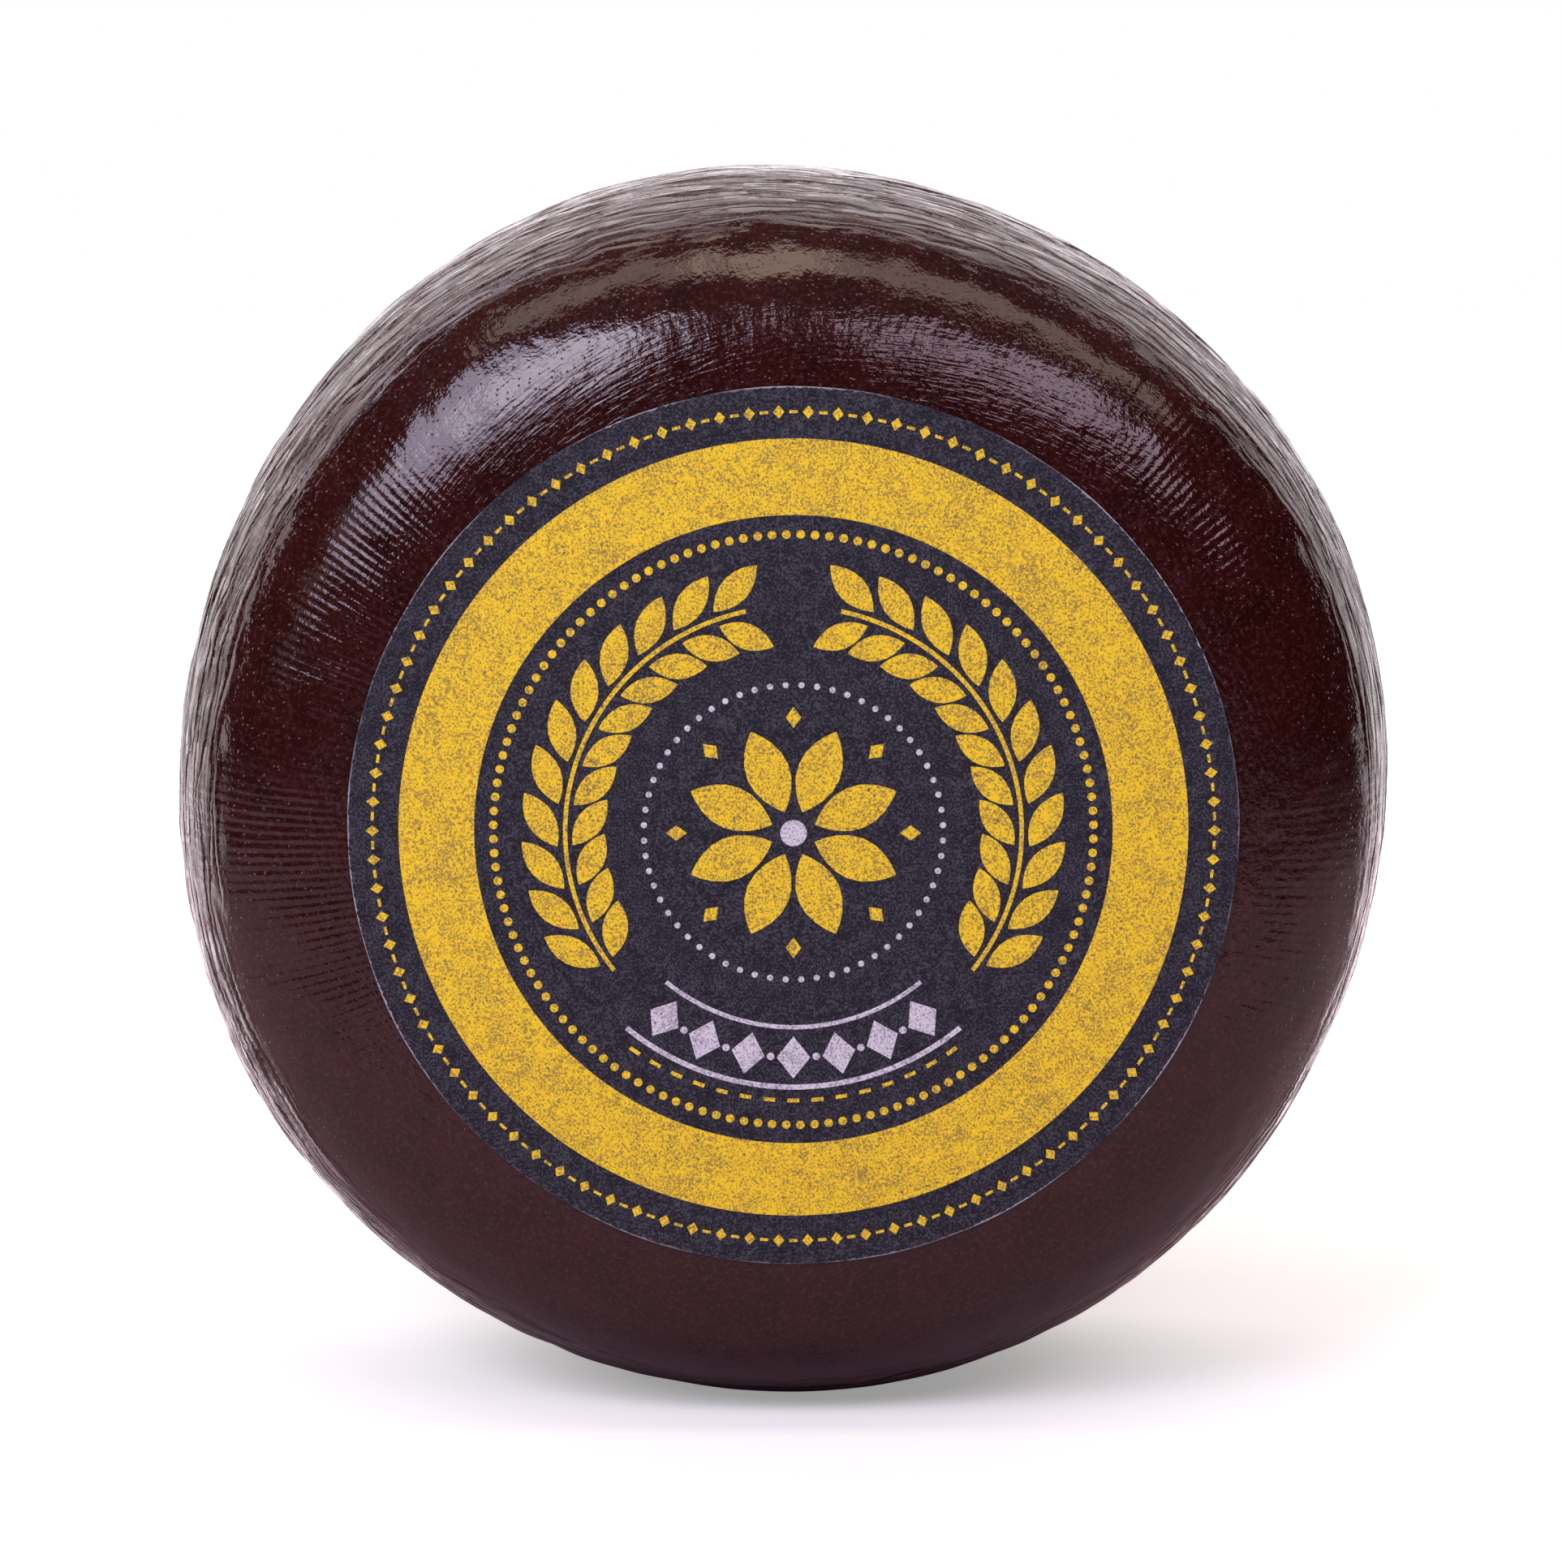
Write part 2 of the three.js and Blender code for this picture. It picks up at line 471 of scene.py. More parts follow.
def dent_relief(tree, given, centred, radius, near_rim):
    """Low dents and lumps that the fingers feel, hardly any of them under the label."""
    seed = given["Seed"]
    dent = cloud(tree, centred, dents_per_metre, maths(tree, "ADD", seed, 8.0), 2.0, 0.45)
    dents = maths(tree, "MULTIPLY", maths(tree, "SUBTRACT", dent, 0.5), given["Dent Depth"])
    lump = cloud(tree, centred, bumps_per_metre, maths(tree, "ADD", seed, 9.0), 1.5)
    fading = maths(tree, "MULTIPLY_ADD", near_rim, bumps_left_at_rim - 1.0, 1.0)
    lump_depth = maths(tree, "MULTIPLY", given["Lump Depth"], fading)
    dents = maths(tree, "MULTIPLY_ADD", maths(tree, "SUBTRACT", lump, 0.5), lump_depth, dents)
    clear_of_label = at_least(tree, eased(tree, radius, *label_edge_zone), dents_under_label)
    return maths(tree, "MULTIPLY", dents, clear_of_label)


foot_zone = (0.0002, 0.006)


def cloth_mark_tree():
    """Presses the hoop cloth's marks into a smooth wheel, except where it stands."""
    tree, given = new_tree("cloth_marks", cloth_marks)
    place = tree.nodes.new("GeometryNodeInputPosition").outputs[0]
    centred, angle, radius, depth = from_axis(tree, place)
    ribs = rib_relief(tree, given, centred, angle, radius)
    strands, near_rim = strand_relief(tree, given, angle, radius, depth)
    dents = dent_relief(tree, given, centred, radius, near_rim)
    _, _, height = parted(tree, place)
    off_foot = eased(tree, height, *foot_zone)
    total = maths(tree, "ADD", maths(tree, "ADD", ribs, strands), dents)

    push = tree.nodes.new("ShaderNodeVectorMath")
    push.operation = "SCALE"
    put(tree, push.inputs[0], tree.nodes.new("GeometryNodeInputNormal").outputs[0])
    put(tree, push.inputs["Scale"], maths(tree, "MULTIPLY", total, off_foot))
    moved = tree.nodes.new("GeometryNodeSetPosition")
    put(tree, moved.inputs["Geometry"], given["Geometry"])
    put(tree, moved.inputs["Offset"], push.outputs[0])
    close_tree(tree, moved.outputs[0], given["Material"])
    return tree


def new_finish(name):
    """A material with an empty Principled shader, and the place on the piece for its patterns."""
    material = bpy.data.materials.new(name)
    material.use_nodes = True
    tree = material.node_tree
    place = tree.nodes.new("ShaderNodeTexCoord").outputs["Object"]
    return material, tree, tree.nodes["Principled BSDF"], place


def blended(tree, share, first, second):
    """One colour over another by a share from 0 to 1."""
    made = tree.nodes.new("ShaderNodeMix")
    made.data_type = "RGBA"
    put(tree, made.inputs["Factor"], share)
    put(tree, made.inputs["A"], first)
    put(tree, made.inputs["B"], second)
    return made.outputs["Result"]


def raised(tree, height, shader):
    """Relief too fine for the mesh, its height in metres."""
    made = tree.nodes.new("ShaderNodeBump")
    made.inputs["Distance"].default_value = 1.0
    put(tree, made.inputs["Height"], height)
    put(tree, shader.inputs["Normal"], made.outputs[0])


coating_colour = (0.0300, 0.0042, 0.0036, 1.0)
coating_shade = (0.0180, 0.0026, 0.0022, 1.0)
thickness_per_metre = 150.0
thickness_levels = (0.3, 0.7)
dust_colour = (0.0470, 0.0160, 0.0155, 1.0)
dust_per_metre = 1600.0
dust_levels = (0.49, 0.64)
dust_cover = 0.75
coating_roughness = 0.074
roughness_spread = 0.06
worn_per_metre = 700.0

grain_height = 0.000024
grains_per_metre = 2300.0
lump_height = 0.000115
lumps_per_metre = 420.0
higher_where_wrinkled = 1.1
right_side = (-0.18, 0.41)
wrinkled_zone = (0.080, 0.074)
stroke_height = 0.000150
strokes_per_metre = 2100.0
stroke_spiral = 0.011
stroke_breaks = 15.0
stroke_zone = (0.077, 0.070)
stroke_centre = (0.004, 0.024)
strokes_at_rim = 0.10
pit_depth = 0.000085
pits_per_metre = 1300.0
pit_edge = (0.05, 0.27)
pit_chance = (0.35, 0.95)


def dried_relief(tree, centred, angle, radius):
    """Dried skin: a fine grain and low lumps, brush strokes round the label, and pinholes."""
    grain = cloud(tree, centred, grains_per_metre, seed=1.0, detail=1.0)
    grain = maths(tree, "MULTIPLY", grain, grain_height)
    lumps = cloud(tree, centred, lumps_per_metre, seed=10.0, detail=3.0, roughness=0.6)
    on_right = eased(tree, maths(tree, "COSINE", angle), *right_side)
    wrinkled = maths(tree, "MULTIPLY", on_right, eased(tree, radius, *wrinkled_zone))
    lump_size = maths(tree, "MULTIPLY_ADD", wrinkled, higher_where_wrinkled * lump_height, lump_height)
    grain = maths(tree, "MULTIPLY_ADD", lumps, lump_size, grain)

    lane = maths(tree, "MULTIPLY_ADD", angle, stroke_spiral, radius)
    lanes = vector_of(
        tree,
        across=maths(tree, "MULTIPLY", lane, strokes_per_metre),
        depth=maths(tree, "MULTIPLY", maths(tree, "SINE", angle), stroke_breaks),
        up=maths(tree, "MULTIPLY", maths(tree, "COSINE", angle), stroke_breaks),
    )
    strokes = cloud(tree, lanes, 1.0, seed=2.0)
    inner = at_least(tree, eased(tree, radius, *stroke_zone), strokes_at_rim)
    inner = maths(tree, "MULTIPLY", inner, eased(tree, radius, *stroke_centre))
    strokes = maths(tree, "MULTIPLY", strokes, maths(tree, "MULTIPLY", inner, stroke_height))

    pits = tree.nodes.new("ShaderNodeTexVoronoi")
    put(tree, pits.inputs["Vector"], centred)
    pits.inputs["Scale"].default_value = pits_per_metre
    hollow = maths(tree, "SUBTRACT", eased(tree, pits.outputs["Distance"], *pit_edge), 1.0)
    chance = tree.nodes.new("ShaderNodeSeparateColor")
    put(tree, chance.inputs[0], pits.outputs["Color"])
    depth_here = maths(tree, "MULTIPLY", eased(tree, chance.outputs[0], *pit_chance), pit_depth)
    return maths(tree, "ADD", grain, strokes), maths(tree, "MULTIPLY", hollow, depth_here)


yarn_height = 0.000500
yarn_pattern = (42.0, 320.0, 42.0)
yarn_width = 0.20
hair_height = 0.000420
hair_pattern = (150.0, 520.0, 150.0)
yarn_bunch_pattern = (85.0, 140.0, 85.0)
yarn_waver = 0.005
yarn_rise = (0.0834, 0.0874)


def hair_relief(tree, angle, radius, depth):
    """The cloth's yarns and single hairs, which show round the rim."""
    skin = over_skin(tree, angle, radius, depth)
    waver = cloud(tree, scaled(tree, skin, yarn_bunch_pattern), 1.0, seed=8.0)
    shifted = pushed_aside(tree, skin, maths(tree, "MULTIPLY", waver, yarn_waver))
    yarn = creased(tree, scaled(tree, shifted, yarn_pattern), 9.0, yarn_width)
    yarn = maths(tree, "MULTIPLY", yarn, yarn_height)
    hairs = cloud(tree, scaled(tree, shifted, hair_pattern), 1.0, seed=5.0, detail=4.0, roughness=0.72)
    hairs = maths(tree, "MULTIPLY_ADD", hairs, hair_height, yarn)
    near_rim = eased(tree, towards_rim(tree, angle, radius, waver), *yarn_rise)
    return maths(tree, "MULTIPLY", hairs, near_rim)


def coating_finish():
    material, tree, shader, place = new_finish("wheel_coating")
    centred, angle, radius, depth = from_axis(tree, place)
    dried, hollows = dried_relief(tree, centred, angle, radius)
    hairs = hair_relief(tree, angle, radius, depth)
    raised(tree, maths(tree, "ADD", dried, maths(tree, "ADD", hollows, hairs)), shader)

    thickness = cloud(tree, centred, thickness_per_metre, seed=6.0, detail=4.0)
    skin_tone = blended(tree, eased(tree, thickness, *thickness_levels), coating_shade, coating_colour)
    dust = cloud(tree, centred, dust_per_metre, seed=12.0, detail=2.0)
    dust = maths(tree, "MULTIPLY", eased(tree, dust, *dust_levels), dust_cover)
    put(tree, shader.inputs["Base Color"], blended(tree, dust, skin_tone, dust_colour))
    worn = cloud(tree, centred, worn_per_metre, seed=7.0, detail=2.0)
    smoothest = coating_roughness - roughness_spread / 2
    roughness = maths(tree, "MULTIPLY_ADD", worn, roughness_spread, smoothest)
    put(tree, shader.inputs["Roughness"], roughness)
    shader.inputs["IOR"].default_value = 1.5
    return material


wheel = made_by_tree(
    "coated_wheel", wheel_blank(), cloth_mark_tree(), cloth_marks, coating_finish()
)
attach(wheel, "root")
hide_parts("cheese_wheel")


# THE LABEL
# A round paper label, printed all over and cut out with a die, so that the white of the paper
# shows as a thin line at its edge. It is glued flat on the face by hand, a little off centre.

label_radius = 0.0635
label_right = 0.0017
label_down = 0.0002
label_gap = 0.0003
label_thickness = 0.00016
label_turn_steps = 288
label_rings = 22

# The cut edge isn't quite round: waves round it, the height of each and where it starts.
cut_waves = ((9, 0.00004, 0.0), (23, 0.00003, 1.0))
sharp_fold = math.radians(40)


def face_depth(radius):
    """How far back or forward the front face lies at a distance from the axis."""
    if radius <= face_crown_radius * math.sin(face_half_turn):
        return face_centre.y - math.sqrt(face_crown_radius**2 - radius**2)
    return shoulder_centre.y - math.sqrt(shoulder_radius**2 - (radius - shoulder_centre.x) ** 2)


def cut_waver(angle):
    """How far the die's cut stands out at an angle."""
    return sum(height * math.sin(waves * angle + start) for waves, height, start in cut_waves)


def label_mesh():
    """The paper's front and back, both a little off the coating, joined round the edge."""
    points, faces = [], []
    for lift in (label_gap + label_thickness, label_gap):
        points.append((label_right, face_depth(label_right) - lift, axis_height - label_down))
        for ring in range(1, label_rings + 1):
            for j in range(label_turn_steps):
                angle = 2 * math.pi * j / label_turn_steps
                reach = label_radius * ring / label_rings
                if ring == label_rings:
                    reach += cut_waver(angle)
                x = label_right + reach * math.cos(angle)
                z = reach * math.sin(angle) - label_down
                points.append((x, face_depth(math.hypot(x, z)) - lift, z + axis_height))
    side_points = 1 + label_rings * label_turn_steps

    def at(side, ring, j):
        return side * side_points + 1 + (ring - 1) * label_turn_steps + j % label_turn_steps

    for j in range(label_turn_steps):
        faces.append((0, at(0, 1, j), at(0, 1, j + 1)))
        faces.append((side_points, at(1, 1, j + 1), at(1, 1, j)))
        for ring in range(1, label_rings):
            front = (at(0, ring, j), at(0, ring + 1, j), at(0, ring + 1, j + 1), at(0, ring, j + 1))
            back = (at(1, ring, j), at(1, ring, j + 1), at(1, ring + 1, j + 1), at(1, ring + 1, j))
            faces += [front, back]
        rim = label_rings
        faces.append((at(0, rim, j), at(1, rim, j), at(1, rim, j + 1), at(0, rim, j + 1)))
    mesh = bpy.data.meshes.new("round_label")
    mesh.from_pydata(points, [], faces)
    mesh.shade_smooth()
    mesh.set_sharp_from_angle(angle=sharp_fold)
    return mesh


paper_dark = (0.006, 0.006, 0.012, 1.0)
paper_light = (0.064, 0.069, 0.087, 1.0)
paper_levels = (0.44, 0.64)
paper_white = (0.36, 0.36, 0.38, 1.0)
cut_edge_width = 0.00018
ragged_width = 0.0007
rags_per_metre = 1400.0
white_stretches_per_metre = 55.0
white_levels = (0.36, 0.60)
felt_height = 0.00003

fibres_per_metre = 2900.0
felt_clouds_per_metre = 420.0
cloud_share = 0.22


def fibres(tree, place, seed):
    """The paper's felt of short fibres, finer than a grain of salt, and a coarser cloudiness."""
    fine = cloud(tree, place, fibres_per_metre, seed, 2.0, 0.7)
    coarse = cloud(tree, place, felt_clouds_per_metre, seed + 1.0, 3.0, 0.6)
    fine_part = maths(tree, "MULTIPLY", fine, 1.0 - cloud_share)
    return maths(tree, "MULTIPLY_ADD", coarse, cloud_share, fine_part)


def label_finish():
    material, tree, shader, place = new_finish("label_paper")
    felt = fibres(tree, place, 11.0)
    mottled = blended(tree, eased(tree, felt, *paper_levels), paper_dark, paper_light)

    centred = tree.nodes.new("ShaderNodeMapping")
    centred.inputs["Location"].default_value = (-label_right, 0.0, label_down - axis_height)
    put(tree, centred.inputs["Vector"], place)
    across, _, up = parted(tree, centred.outputs[0])
    radius = maths(tree, "SQRT", sum_of_squares(tree, across, up))
    rags = cloud(tree, place, rags_per_metre, 13.0)
    ragged = maths(tree, "MULTIPLY_ADD", rags, ragged_width, -ragged_width / 2)
    at_edge = maths(tree, "ADD", radius, ragged)
    edge = eased(tree, at_edge, label_radius - cut_edge_width, label_radius - cut_edge_width / 2)
    stretches = cloud(tree, place, white_stretches_per_metre, 14.0)
    edge = maths(tree, "MULTIPLY", edge, eased(tree, stretches, *white_levels))
    put(tree, shader.inputs["Base Color"], blended(tree, edge, mottled, paper_white))
    shader.inputs["Roughness"].default_value = 0.78
    shader.inputs["Specular IOR Level"].default_value = 0.35
    raised(tree, maths(tree, "MULTIPLY", felt, felt_height), shader)
    return material


label = bpy.data.objects.new("round_label", label_mesh())
bpy.context.collection.objects.link(label)
label.data.materials.append(label_finish())
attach(label, "root")
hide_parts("label")


# THE PRINT
# Yellow and pale grey ink on the label: a plain ornament of a broad band, beads, two leafy
# branches and a rosette. Each shape is a film of ink that lies on the paper and follows it.

ink_film = 0.00003
ink_gap = 0.00001
ink_lift = label_gap + label_thickness + ink_gap

motif_sizes = {
    "Count": 12,
    "Ring Radius": 0.03,
    "Start": 0.0,
    "Sweep": 1.0,
    "Length": 0.002,
    "Width": 0.002,
    "Tilt": 0.0,
    "Corners": 12,
    "Corner Turn": 0.0,
    "Point": 0.0,
}


def set_in_place(tree, geometry, place):
    made = tree.nodes.new("GeometryNodeSetPosition")
    put(tree, made.inputs["Geometry"], geometry)
    put(tree, made.inputs["Position"], place)
    return made.outputs[0]


def own_place(tree):
    """The three parts of each point's own place."""
    return parted(tree, tree.nodes.new("GeometryNodeInputPosition").outputs[0])


def on_ring(tree, angle, radius):
    """A place on a ring round the label's centre."""
    return vector_of(
        tree,
        across=maths(tree, "MULTIPLY", maths(tree, "COSINE", angle), radius),
        up=maths(tree, "MULTIPLY", maths(tree, "SINE", angle), radius),
    )


def laid_on_label(tree, geometry):
    """Lays flat print, drawn round the label's centre at depth 0, on the crowned face."""
    across, depth, up = own_place(tree)
    across = maths(tree, "ADD", across, label_right)
    up = maths(tree, "SUBTRACT", up, label_down)
    square_reach = sum_of_squares(tree, across, up)
    under = maths(tree, "SQRT", maths(tree, "SUBTRACT", face_crown_radius**2, square_reach))
    face = maths(tree, "SUBTRACT", face_centre.y - ink_lift, under)
    laid = vector_of(
        tree,
        across=across,
        depth=maths(tree, "ADD", face, depth),
        up=maths(tree, "ADD", up, axis_height),
    )
    return set_in_place(tree, geometry, laid)


def merged(tree, geometry):
    """Joins points that lie on each other."""
    made = tree.nodes.new("GeometryNodeMergeByDistance")
    put(tree, made.inputs["Geometry"], geometry)
    made.inputs["Distance"].default_value = ink_film / 10
    return made.outputs[0]


def film_from(tree, sheet):
    """Gives a flat sheet of faces that look forward the thickness of a film of ink."""
    lifted = tree.nodes.new("GeometryNodeExtrudeMesh")
    lifted.inputs["Individual"].default_value = False
    put(tree, lifted.inputs["Mesh"], sheet)
    lifted.inputs["Offset Scale"].default_value = ink_film
    back = tree.nodes.new("GeometryNodeFlipFaces")
    put(tree, back.inputs[0], sheet)
    joined = tree.nodes.new("GeometryNodeJoinGeometry")
    put(tree, joined.inputs[0], back.outputs[0])
    put(tree, joined.inputs[0], lifted.outputs["Mesh"])
    return merged(tree, joined.outputs[0])


def motif_tree():
    """A row of equal printed motifs, set evenly along part of a ring."""
    tree, given = new_tree("printed_row", motif_sizes)
    outline = tree.nodes.new("GeometryNodeMeshCircle")
    outline.fill_type = "NGON"
    put(tree, outline.inputs["Vertices"], given["Corners"])
    outline.inputs["Radius"].default_value = 1.0
    turned = tree.nodes.new("GeometryNodeTransform")
    put(tree, turned.inputs["Geometry"], outline.outputs[0])
    put(tree, turned.inputs["Rotation"], vector_of(tree, up=given["Corner Turn"]))

    # The unit outline becomes as long and wide as the motif, and its ends are drawn to points.
    along_motif, side, _ = own_place(tree)
    thin = maths(tree, "POWER", maths(tree, "ABSOLUTE", side), given["Point"])
    side = maths(tree, "MULTIPLY", side, thin)
    half_length = maths(tree, "MULTIPLY", given["Length"], 0.5)
    half_width = maths(tree, "MULTIPLY", given["Width"], 0.5)
    shape = vector_of(
        tree,
        across=maths(tree, "MULTIPLY", along_motif, half_length),
        up=maths(tree, "MULTIPLY", side, half_width),
    )
    film = film_from(tree, set_in_place(tree, turned.outputs[0], shape))

    row = tree.nodes.new("GeometryNodePoints")
    put(tree, row.inputs["Count"], given["Count"])
    index = tree.nodes.new("GeometryNodeInputIndex").outputs[0]
    step = maths(tree, "DIVIDE", maths(tree, "ADD", index, 0.5), given["Count"])
    angle = maths(tree, "MULTIPLY_ADD", step, given["Sweep"], given["Start"])
    put(tree, row.inputs["Position"], on_ring(tree, angle, given["Ring Radius"]))
    spread = tree.nodes.new("GeometryNodeInstanceOnPoints")
    put(tree, spread.inputs["Points"], row.outputs[0])
    put(tree, spread.inputs["Instance"], film)
    lean = maths(tree, "SUBTRACT", maths(tree, "MULTIPLY", angle, -1.0), given["Tilt"])
    put(tree, spread.inputs["Rotation"], vector_of(tree, depth=lean))
    real = tree.nodes.new("GeometryNodeRealizeInstances")
    put(tree, real.inputs[0], spread.outputs[0])
    close_tree(tree, laid_on_label(tree, real.outputs[0]), given["Material"])
    return tree


band_sizes = {
    "Inner Radius": 0.03,
    "Outer Radius": 0.04,
    "Start": 0.0,
    "Sweep": 1.0,
    "Steps": 96,
    "Rows": 4,
}


def band_tree():
    """A printed band or line along all or part of a ring."""
    tree, given = new_tree("printed_band", band_sizes)
    strip = tree.nodes.new("GeometryNodeMeshGrid")
    strip.inputs["Size X"].default_value = 1.0
    strip.inputs["Size Y"].default_value = 1.0
    put(tree, strip.inputs["Vertices X"], given["Steps"])
    put(tree, strip.inputs["Vertices Y"], given["Rows"])
    share, out, _ = own_place(tree)
    share = maths(tree, "ADD", share, 0.5)
    out = maths(tree, "ADD", out, 0.5)
    angle = maths(tree, "MULTIPLY_ADD", share, given["Sweep"], given["Start"])
    width = maths(tree, "SUBTRACT", given["Outer Radius"], given["Inner Radius"])
    radius = maths(tree, "MULTIPLY_ADD", out, width, given["Inner Radius"])
    bent = set_in_place(tree, strip.outputs[0], on_ring(tree, angle, radius))
    film = film_from(tree, merged(tree, bent))
    close_tree(tree, laid_on_label(tree, film), given["Material"])
    return tree


full_yellow = (0.94, 0.69, 0.015, 1.0)
rubbed_yellow = (0.36, 0.245, 0.048, 1.0)
full_grey = (0.70, 0.71, 0.76, 1.0)
rubbed_grey = (0.33, 0.34, 0.38, 1.0)
cover_levels = (0.40, 0.55)
worn_places_per_metre = 95.0
worn_levels = (0.54, 0.74)
worn_away = 0.03
specks_per_metre = 2300.0
speck_levels = (0.38, 0.29)
speck_cover = 0.8
ink_relief = 0.00002


def ink_finish(name, full, rubbed, seed):
    """Ink on rough paper: full on the fibres' tops, thin where the dark paper shows through."""
    material, tree, shader, place = new_finish(name)
    felt = fibres(tree, place, seed)
    worn = eased(tree, cloud(tree, place, worn_places_per_metre, seed + 5.0, 2.0), *worn_levels)
    felt_here = maths(tree, "SUBTRACT", felt, maths(tree, "MULTIPLY", worn, worn_away))
    cover = blended(tree, eased(tree, felt_here, *cover_levels), rubbed, full)
    specks = eased(tree, cloud(tree, place, specks_per_metre, seed + 3.0, 1.0), *speck_levels)
    specks = maths(tree, "MULTIPLY", specks, speck_cover)
    put(tree, shader.inputs["Base Color"], blended(tree, specks, cover, paper_light))
    shader.inputs["Roughness"].default_value = 0.62
    shader.inputs["Specular IOR Level"].default_value = 0.4
    raised(tree, maths(tree, "MULTIPLY", felt, ink_relief), shader)
    return material


yellow_ink = ink_finish("yellow_ink", full_yellow, rubbed_yellow, 21.0)
grey_ink = ink_finish("pale_grey_ink", full_grey, rubbed_grey, 31.0)
printed_row = motif_tree()
printed_band = band_tree()


def keep_print(name, tree, sizes, ink):
    """Prints one group of shapes on the label."""
    piece = made_by_tree(name, bpy.data.meshes.new("blank"), tree, sizes, ink)
    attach(piece, "root")


def row_of(name, ink, count, ring, length, width, start=0.0, sweep=360.0, **more):
    """A row of motifs on a ring, given as a share of the label's radius. Angles are in degrees
    from the right, counted upwards."""
    sizes = dict(motif_sizes)
    sizes["Count"], sizes["Ring Radius"] = count, ring * label_radius
    sizes["Start"], sizes["Sweep"] = math.radians(start), math.radians(sweep)
    sizes["Length"], sizes["Width"] = length, width
    sizes["Tilt"] = math.radians(more.get("tilt", 0.0))
    sizes["Corners"] = more.get("corners", 12)
    sizes["Corner Turn"] = math.radians(more.get("corner_turn", 0.0))
    sizes["Point"] = more.get("point", 0.0)
    keep_print(name, printed_row, sizes, ink)


def band_of(name, ink, inner, outer, start=0.0, sweep=360.0, steps=289, rows=4):
    """A band between two shares of the label's radius."""
    sizes = {
        "Inner Radius": inner * label_radius,
        "Outer Radius": outer * label_radius,
        "Start": math.radians(start),
        "Sweep": math.radians(sweep),
        "Steps": steps,
        "Rows": rows,
    }
    keep_print(name, printed_band, sizes, ink)


dash = {"tilt": 90, "corners": 4, "corner_turn": 45.0}
lozenge = {"corners": 4}
leaf = {"corners": 20, "point": 0.9}
line = {"steps": 65, "rows": 2}

band_of("print_broad_band", yellow_ink, 0.715, 0.885, rows=8)
row_of("print_edge_dashes", yellow_ink, 90, 0.944, 0.0017, 0.0006, **dash)
row_of("print_edge_lozenges", yellow_ink, 90, 0.944, 0.0019, 0.0016, start=2, **lozenge)
row_of("print_inner_beads", yellow_ink, 132, 0.672, 0.00125, 0.00125)

# The two branches mirror each other. Each starts this many degrees below the middle, and its
# leaves lean along its stem.
branch_start = 34
branch_sweep = 116
stem_below_leaves = 4
leaf_lean = 34
leaves_in_row = 11
outer_leaf = (leaves_in_row, 0.566, 0.0090, 0.0040)
inner_leaf = (leaves_in_row, 0.456, 0.0082, 0.0037)

for side, start, turn in (("right", -branch_start, 1), ("left", 180 + branch_start, -1)):
    reach = {"start": start, "sweep": turn * branch_sweep}
    stem = {"start": start - turn * stem_below_leaves, "sweep": turn * branch_sweep}
    outer_tilt, inner_tilt = 90 - turn * leaf_lean, 90 + turn * leaf_lean
    band_of(f"print_stem_{side}", yellow_ink, 0.506, 0.516, **stem, **line)
    row_of(f"print_outer_leaves_{side}", yellow_ink, *outer_leaf, tilt=outer_tilt, **reach, **leaf)
    row_of(f"print_inner_leaves_{side}", yellow_ink, *inner_leaf, tilt=inner_tilt, **reach, **leaf)

# The garland hangs below the rosette, and a bead lies between every two of its lozenges.
garland = {"start": 230, "sweep": 80}
between_lozenges = {"start": 235.7, "sweep": 68.6}
row_of("print_garland_lozenges", grey_ink, 7, 0.515, 0.0062, 0.0048, **garland, **lozenge)
row_of("print_garland_beads", grey_ink, 6, 0.515, 0.0011, 0.0011, **between_lozenges)
band_of("print_garland_line_outer", grey_ink, 0.578, 0.590, **garland, **line)
band_of("print_garland_line_inner", grey_ink, 0.440, 0.450, **garland, **line)
row_of("print_garland_dashes", yellow_ink, 15, 0.615, 0.0024, 0.0008, start=232, sweep=76, **dash)

row_of("print_ring_beads", grey_ink, 60, 0.335, 0.0009, 0.0009)
row_of("print_rosette_petals", yellow_ink, 8, 0.150, 0.0125, 0.0062, **leaf)
row_of("print_rosette_tips", yellow_ink, 8, 0.262, 0.0030, 0.0022, start=22.5, **lozenge)
row_of("print_rosette_eye", grey_ink, 1, 0.0, 0.0038, 0.0038, corners=32)


# THE STUDIO
# A pale paper floor, a large soft lamp on either side of the camera, two strips overhead, and a
# room whose wall has brighter and darker bands. The camera sees floor and room pale or white, and
# the coating mirrors them in tones of their own.

floor_radius = 1.6
floor_corners = 96
floor_below = 0.0001
floor_fade = (0.5, floor_radius * 0.95)

floor_seen = (0.84, 0.86, 0.82, 1.0)
floor_glow_seen = (0.97, 0.97, 0.96, 1.0)
glow_seen_at_foot = 0.32
glow_seen_farther = 0.52
glow_seen_zone = (0.08, 0.28)

# What the coating mirrors of the floor is painted: a painted shadow under and beside the foot, painted
# mauve bounce light from the red coating around it, and painted shade that darkens the floor farther away.
floor_in_shadow = (0.29, 0.20, 0.25, 1.0)
floor_near = (0.55, 0.43, 0.46, 1.0)
floor_far_painted_shade = (0.10, 0.09, 0.10, 1.0)
shadow_zone = (0.01, 0.06)
far_zone = (0.26, 0.62)
floor_glow_mirrored = (1.0, 0.90, 0.94, 1.0)
glow_behind = 1.60
glow_behind_zone = (0.0, 0.10)
glow_slant = -0.30


def seen_or_mirrored(tree):
    """1 for what the camera sees straight, and 0 for what the coating mirrors."""
    return tree.nodes.new("ShaderNodeLightPath").outputs["Is Camera Ray"]


